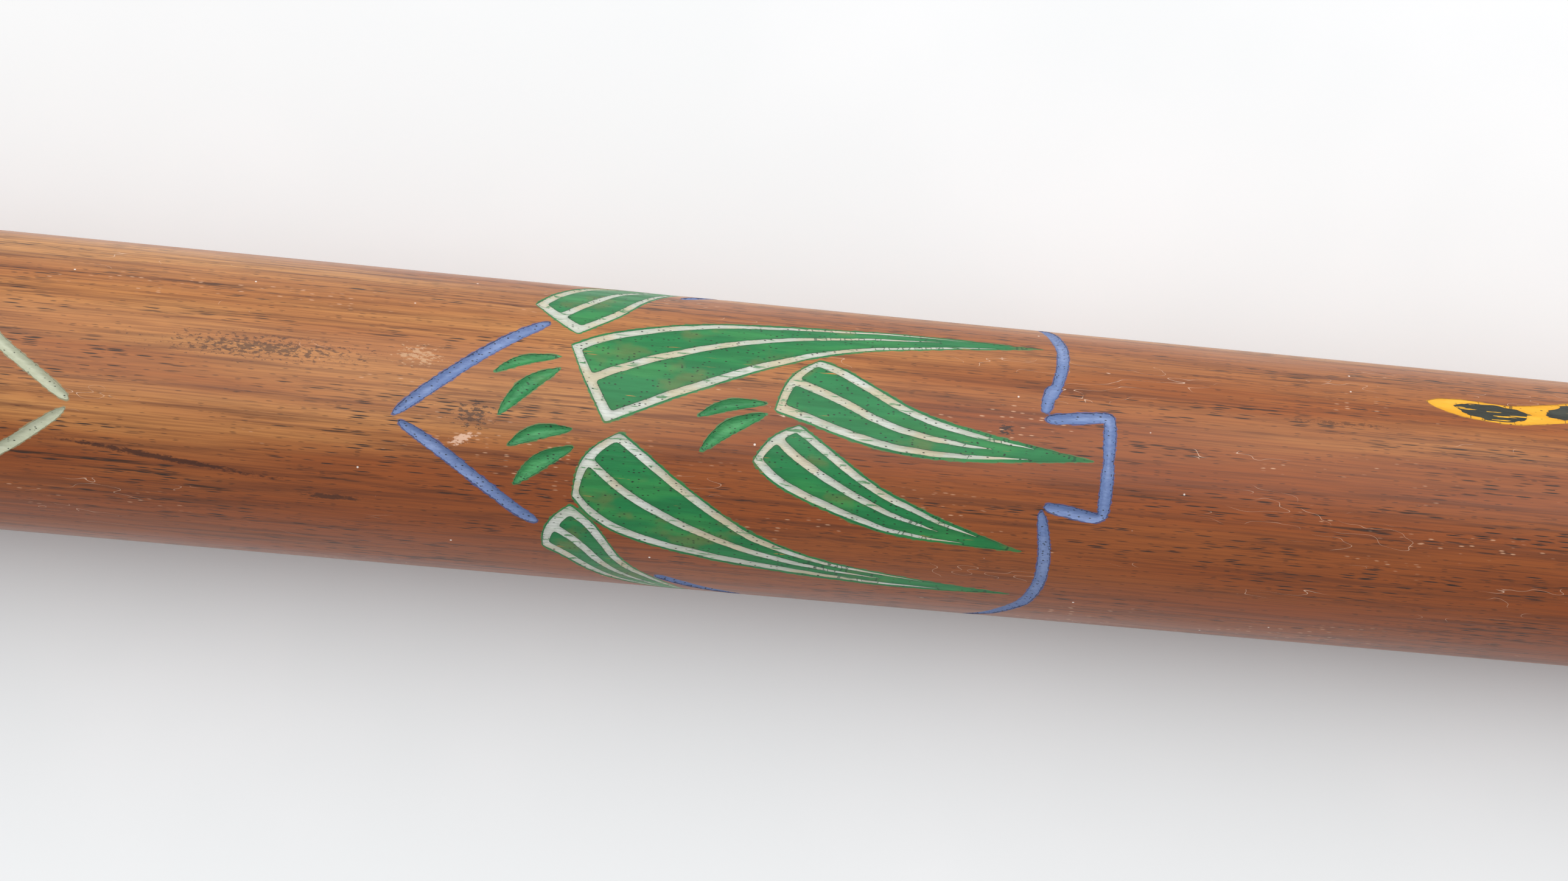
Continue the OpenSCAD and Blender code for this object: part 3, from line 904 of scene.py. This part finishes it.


# the first colour is both darker brush streaks and painted shade on a gouge's sloping walls; the rim colour
# is a painted shadow line along a coat's edge
paintParts = ["deep", "body", "light", "rim", "tint", "through"]
paints = {  # colours in that order; width of the painted shadow line at the rim in mm; specks; wear; streaks in mm
    "blue": {
        "hex": ["#56699A", "#758AB6", "#97A8D0", "#2A3048", "#7B5A46", "#6E5A50"],
        "fringe": 0.2, "pore": 0.5, "wear": 0.05, "streak": (2.5, 0.5)},
    "green": {
        "hex": ["#15582F", "#1D7A43", "#3E934A", "#16482C", "#9A6A3A", "#B07A3C"],
        "fringe": 0.14, "pore": 0.32, "wear": 0.35, "streak": (14, 1.4)},
    "leafletGreen": {
        "hex": ["#1E6137", "#3A8F56", "#5DB06C", "#153D25", "#8A6238", "#7A6A38"],
        "fringe": 0.16, "pore": 0.45, "wear": 0.2, "streak": (2.5, 0.4)},
    "cream": {
        "hex": ["#98A192", "#C8CABD", "#E3E6E5", "#33523A", "#C2AC7E", "#5E8A62"],
        "fringe": 0.07, "pore": 0.3, "wear": 0.8, "streak": (4, 0.3)},
    "celadon": {
        "hex": ["#A4A78E", "#C0C3AB", "#D8DAC6", "#6E6A50", "#BFA884", "#A08A62"],
        "fringe": 0.1, "pore": 0.2, "wear": 0.25, "streak": (3, 0.5)},
    "ochre": {
        "hex": ["#9C4A20", "#C8692F", "#DC9350", "#5C2A14", "#8F5A36", "#8F5A36"],
        "fringe": 0.12, "pore": 0.3, "wear": 0.3, "streak": (14, 1.4)},
    "chevronCream": {
        "hex": ["#B9B08E", "#DAD6C4", "#EDEADF", "#7A4A2A", "#D2B182", "#A8623A"],
        "fringe": 0.07, "pore": 0.3, "wear": 0.5, "streak": (4, 0.35)},
    "rust": {
        "hex": ["#8A3D1C", "#B45A2C", "#CE8148", "#4C2211", "#8A6238", "#7A5038"],
        "fringe": 0.14, "pore": 0.45, "wear": 0.2, "streak": (2.5, 0.4)},
    "yellow": {
        "hex": ["#D48E12", "#E9A91F", "#F0BC40", "#5A4310", "#3B3420", "#3B3420"],
        "fringe": 0.05, "pore": 0.2, "wear": 0.1, "streak": (5, 0.8)},
    "black": {
        "hex": ["#22251F", "#2B2D27", "#4A4E40", "#1A1A16", "#2E3028", "#E3A71F"],
        "fringe": 0.04, "pore": 0.1, "wear": 0.6, "streak": (2.5, 0.5),
        "soft": 0.01},  # its worn places end crisply, the others fade out
}


# hobby enamel brushed into gouged wood under varnish: even colour with brush streaks, vessels
# that stay open as black specks, a painted shadow line at the rim, painted shade on a gouge's
# sloping walls and thin places where wood shows
def brushedPaint(name, kind):
    look = paints[kind]
    tone = {part: colour(code) for part, code in zip(paintParts, look["hex"])}
    seed = 40.0 + 3.0 * list(paints).index(kind)
    material, tree, shader = newMaterial(name, {
        "Coat Weight": 0.08, "Coat Roughness": 0.22, "Specular IOR Level": 0.3})
    along, across = look["streak"]
    streaks = mottle(tree, (along, across, across), 0.38, 0.66, seed, 4.0, 0.6)
    cloud = mottle(tree, (16, 5, 5), 0.46, 0.62, seed + 1)
    edge = put(tree, "Attribute", {"attribute_name": "edge"}, {}, "Fac")
    groove = put(tree, "Attribute", {"attribute_name": "groove"}, {}, "Fac")
    # painted shadow: a thin dark line along a coat's edge, where the gouge wall would shade it
    ragged = mottle(tree, (1.0, 0.4, 0.4), 0.3, 0.8, seed + 2)
    rimShadowLimit = put(tree, "Math", "MULTIPLY_ADD", {0: ragged, 1: look["fringe"], 2: 0.02})
    rim = put(tree, "Math", "LESS_THAN", {0: edge, 1: rimShadowLimit})
    # painted shade: the paint darkens from a gouge's middle towards its sloping walls
    deep = put(tree, "MapRange", {}, {"Value": groove, "To Min": 0.42, "To Max": 0.0})
    specks = dashes(tree, (0.9, 0.38, 0.38), look["pore"], 0.12, 0.34, seed + 3)
    worn = 0.75 - 0.2 * look["wear"]
    thinned = mottle(tree, (7, 0.5, 0.5), worn, worn + look.get("soft", 0.08), seed + 4)
    tinted = mottle(tree, (9, 6, 6), 0.62 - 0.2 * look["wear"], 0.72 - 0.1 * look["wear"], seed + 5)
    half = put(tree, "Math", "MULTIPLY", {0: tinted, 1: 0.6 * look["wear"]})
    # the painted shadow line at the rim, three quarters strong
    rimShadowShare = put(tree, "Math", "MULTIPLY", {0: rim, 1: 0.75})
    sheen = put(tree, "Math", "MULTIPLY", {0: cloud, 1: 0.45})
    paint = layered(tree, tone["body"], [
        (sheen, tone["light"]),
        (put(tree, "Math", "MULTIPLY", {0: streaks, 1: 0.4}), tone["deep"]),
        (deep, tone["deep"]),
        (half, tone["tint"]),
        (thinned, tone["through"]),
        (rimShadowShare, tone["rim"]),
        (specks, colour("#1E211B"))])
    wire(tree, shader, paint, streaks, 0.32, 0.46, streaks, 0.03)
    return material


# hand-worked beeswax: soft amber, finger dents, light scatters a little inside it
def workedWax(name):
    material, tree, shader = newMaterial(name, {
        "Subsurface Weight": 0.25, "Subsurface Scale": 0.003, "IOR": 1.44})
    dents = mottle(tree, (6, 6, 6), 0.3, 0.7, 80.0)
    amber = layered(tree, colour("#B07A2C"), [
        (dents, colour("#C99440")), (mottle(tree, (3, 3, 3), 0.55, 0.75, 81.0), colour("#8A5A1E")),
        (dashes(tree, (1.5, 1.5, 1.5), 0.03, 0.05, 0.2, 82.0), colour("#4A3015"))])
    wire(tree, shader, amber, dents, 0.38, 0.55, dents, 0.25)
    return material


# wood glue squeezed into a shut seam: a thin brown line, lighter where it has dried proud
def driedGlue(name):
    material, tree, shader = newMaterial(name, {"Coat Weight": 0.4})
    beads = mottle(tree, (9, 2, 2), 0.4, 0.7, 90.0)
    glue = layered(tree, colour("#5E3A22"), [
        (beads, colour("#8A6238")), (mottle(tree, (2, 1, 1), 0.6, 0.8, 91.0), colour("#3B2416"))])
    wire(tree, shader, glue, beads, 0.35, 0.55)
    return material


# rims take their spread paint from these
stainColours = {
    "shield_outline": colour("#3F4F86"), "shield_leaves": colour("#2C7A46"),
    "shield_leaflets": colour("#2C7A46"), "chevron_outline": colour("#8D8A6C"),
    "chevron_leaves": colour("#8F4A24"), "chevron_leaflets": colour("#8F4A24"),
    "snake_body": colour("#B07A14")}
bareWood = boredWood("boredHardwood")
upperSkin = varnishedWood("varnishedHardwoodUpper", "upper", stickMarks)
lowerSkin = varnishedWood("varnishedHardwoodLower", "lower", [])
buildHalf("carvedUpperHalf", "upper_half", 0.0, upperSkin, bareWood)
buildHalf("carvedLowerHalf", "lower_half", math.pi, lowerSkin, bareWood)


coats = [  # piece, node it stands for, outlines it fills, levels, groove, paint, slot
    ("blueOutline", "shield_outline", "shield_outline", {1}, "stroke", "blue", "blue_paint"),
    ("greenLeaves", "shield_leaves", "shield_leaves", {1, 3}, "field", "green", "green_paint"),
    ("creamVeins", "shield_veins", "shield_leaves", {2}, "line", "cream", "cream_paint"),
    ("greenLeaflets", "shield_leaflets", "shield_leaflets", {1}, "leaflet", "leafletGreen",
     "leaflet_paint"),
    ("celadonOutline", "chevron_outline", "chevron_outline", {1}, "stroke", "celadon", "pale_green_paint"),
    ("ochreLeaves", "chevron_leaves", "chevron_leaves", {1, 3}, "field", "ochre", "ochre_paint"),
    ("chevronVeins", "chevron_veins", "chevron_leaves", {2}, "line", "chevronCream", "chevron_cream_paint"),
    ("rustLeaflets", "chevron_leaflets", "chevron_leaflets", {1}, "leaflet", "rust",
     "chevron_leaflet_paint"),
    ("yellowSnake", "snake_body", "snake_body", {1}, "field", "yellow", "yellow_paint"),
    ("blackPatches", "snake_patches", "snake_body", {2}, "field", "black", "black_paint"),
]
for name, node, outlines, levels, groove, kind, slot in coats:
    spacing = carving["fieldSpacing" if groove == "field" else "grooveSpacing"]
    sheets = [fill(group["loops"], spacing) for group in carved[outlines]["groups"]]
    paint = brushedPaint(kind + "Enamel", kind)
    coatPiece(name, node, carved[outlines]["floor"], sheets, levels, groove, paint)

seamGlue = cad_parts["seam_glue"]
seamGlue.data.materials.clear()
seamGlue.data.materials.append(driedGlue("driedGlue"))

waxLow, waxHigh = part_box("mouth_wax")
waxPoints = nodePoints("mouth_wax")
wax = {
    "lip": waxHigh[0], "seat": waxHigh[1], "depth": -waxLow[0],
    "hole": np.hypot(waxPoints[:, 1], waxPoints[:, 2]).min(),
    "lump": 0.45 * mm, "lumpSize": 6 * mm, "seed": 3.0,
    "around": 144, "holeRows": 20, "lipRows": 16,
}


# the ring's closed outline: along its hole, round its lip and back over the wood
def waxOutline():
    lip, back = wax["lip"] / 2, boreRadius(-wax["depth"])
    middle = wax["hole"] + lip
    long, bend = wax["holeRows"], wax["lipRows"]
    points = [(-wax["depth"] + (wax["depth"] + lip) * i / long, wax["hole"], 1.0) for i in range(long)]
    for i in range(bend + 1):
        a = math.pi * i / bend
        points.append((lip + lip * math.sin(a), middle - (middle - wax["hole"]) * math.cos(a), 1.0))
    points += [(0.0, wax["seat"], 0.0), (0.0, tube["boreMouth"], 0.0), (-wax["depth"], back, 0.0)]
    return points


# presses soft lumps into what is free to move
def pressTree():
    tree, given, result = nodeGroup("pressByHand", [
        ("Lump height", "NodeSocketFloat", 0.0005), ("Lump size", "NodeSocketFloat", 0.006),
        ("Seed", "NodeSocketFloat", 0.0), ("Material", "NodeSocketMaterial", None)])
    place = put(tree, "GeometryNodeInputPosition", {}, {})
    finer = put(tree, "Math", "DIVIDE", {0: 1.0, 1: given["Lump size"]})
    value = put(tree, "TexNoise", {"noise_dimensions": "4D"}, {
        "Vector": place, "W": given["Seed"], "Scale": finer, "Detail": 1.5})
    centred = put(tree, "Math", "MULTIPLY_ADD", {0: value, 1: 2.0, 2: -1.0})
    free = put(tree, "GeometryNodeInputNamedAttribute", {"data_type": "FLOAT"}, {"Name": "free"})
    height = put(tree, "Math", "MULTIPLY", {0: centred, 1: given["Lump height"]})
    held = put(tree, "Math", "MULTIPLY", {0: height, 1: free})
    normal = put(tree, "GeometryNodeInputNormal", {}, {})
    push = put(tree, "VectorMath", "SCALE", {0: normal, "Scale": held})
    moved = put(tree, "GeometryNodeSetPosition", {}, {"Geometry": given["Geometry"], "Offset": push})
    real = put(tree, "GeometryNodeRealizeInstances", {}, {"Geometry": moved})
    done = put(tree, "GeometryNodeSetMaterial", {}, {"Geometry": real, "Material": given["Material"]})
    tree.links.new(done, result["Geometry"])
    return tree


def buildWax():
    outline, around = waxOutline(), wax["around"]
    count, points, faces = len(outline), [], []
    for j in range(around):
        angle = 2 * math.pi * j / around
        points += [(x, angle, r) for x, r, free in outline]
        for i in range(count):
            a, b = j * count + i, j * count + (i + 1) % count
            c, d = (b + count) % (around * count), (a + count) % (around * count)
            faces.append([a, b, c, d])
    free = [f for x, r, f in outline] * around
    rolled = runNodes(flatMesh("waxSheet", points, faces, {}, {"free": free}), roll, {
        "Mouth radius": 0.0, "Slope": 0.0, "Flat radius": 1.0}, "waxRing")
    ring = rolled.data
    bpy.data.objects.remove(rolled)
    piece = runNodes(ring, pressTree(), {
        "Lump height": wax["lump"], "Lump size": wax["lumpSize"], "Seed": wax["seed"],
        "Material": workedWax("workedBeeswax")}, "beeswaxMouthpiece")
    piece.data.polygons.foreach_set("use_smooth", [True] * len(piece.data.polygons))
    handOver(piece, "mouth_wax")
    print("beeswax", len(piece.data.polygons), "faces")


buildWax()

studio = {
    "floor": "#EDEEEF", "floorHalf": 5.0,
    "bright": "#F3F6F6", "brightStrength": 0.93,  # the side that the key stands on
    "dim": "#F0F0F2", "dimStrength": 0.62,  # the side away from it
    "keySize": 3.2, "keyPower": 43.0, "keyFrom": (-0.55, 1.25, 1.95), "keyAim": (-0.6, 0.0, 0.0),
    "middle": -0.6,  # the card is centred under this
}


# matte card, tilted so that the cone lies on it along its whole length: the eye reads an even
# white without gloss, a faint cloudiness and a few specks of dust
def buildFloor():
    half, middle = studio["floorHalf"], studio["middle"]
    corners = [(middle - half, -half), (middle + half, -half), (middle + half, half), (middle - half, half)]
    rows = [(x, y, -outerRadius(x)) for x, y in corners]
    mesh = bpy.data.meshes.new("floor")
    mesh.from_pydata(rows, [], [[0, 1, 2, 3]])
    floor = bpy.data.objects.new("floor", mesh)
    bpy.context.collection.objects.link(floor)
    material, tree, shader = newMaterial("matteCard", {"Roughness": 0.9, "Specular IOR Level": 0.2})
    card = layered(tree, colour(studio["floor"]), [
        (mottle(tree, (60, 60, 60), 0.4, 0.8, 5.0), colour("#F1F1F2")),
        (dashes(tree, (14, 14, 14), 0.02, 0.01, 0.035, 6.0), colour("#B9B4B2"))])
    tree.links.new(card, shader["Base Color"])
    mesh.materials.append(material)


def softbox(name, size, power, place, aim):
    light = bpy.data.lights.new(name, "AREA")
    light.size, light.energy = size, power
    lamp = bpy.data.objects.new(name, light)
    bpy.context.collection.objects.link(lamp)
    lamp.location = place
    lamp.rotation_euler = (Vector(aim) - Vector(place)).to_track_quat("-Z", "Y").to_euler()


buildFloor()
softbox("keySoftbox", studio["keySize"], studio["keyPower"], studio["keyFrom"], studio["keyAim"])


# a pale room, brighter behind the key than on the far side
def buildRoom():
    world = bpy.data.worlds.new("paleRoom")
    world.use_nodes = True
    tree = world.node_tree
    way = put(tree, "TexCoord", {}, {}, "Generated")
    axis = put(tree, "SeparateXYZ", {}, {0: way}).node.outputs
    lean = put(tree, "Math", "MULTIPLY_ADD", {0: axis["Z"], 1: 0.4, 2: axis["Y"]})
    side = put(tree, "MapRange", smoothly, {
        "Value": lean, "From Min": -0.7, "From Max": 0.9})
    dim = [part * studio["dimStrength"] for part in colour(studio["dim"])]
    bright = [part * studio["brightStrength"] for part in colour(studio["bright"])]
    air = put(tree, "Mix", {"data_type": "RGBA"}, {0: side, 6: dim, 7: bright}, 2)
    tree.links.new(air, tree.nodes["Background"].inputs[0])
    bpy.context.scene.world = world


buildRoom()
bpy.context.scene.view_settings.view_transform = "Standard"

view = {"at": (-0.6, 0.00197, 0.75), "roll": 5.271, "lens": 100}  # looks straight down on the middle
camera = bpy.data.objects.new("camera", bpy.data.cameras.new("camera"))
camera.data.lens = view["lens"]
camera.location = view["at"]
camera.rotation_euler = (0, 0, math.radians(view["roll"]))
bpy.context.collection.objects.link(camera)
bpy.context.scene.camera = camera
print("studio ready")
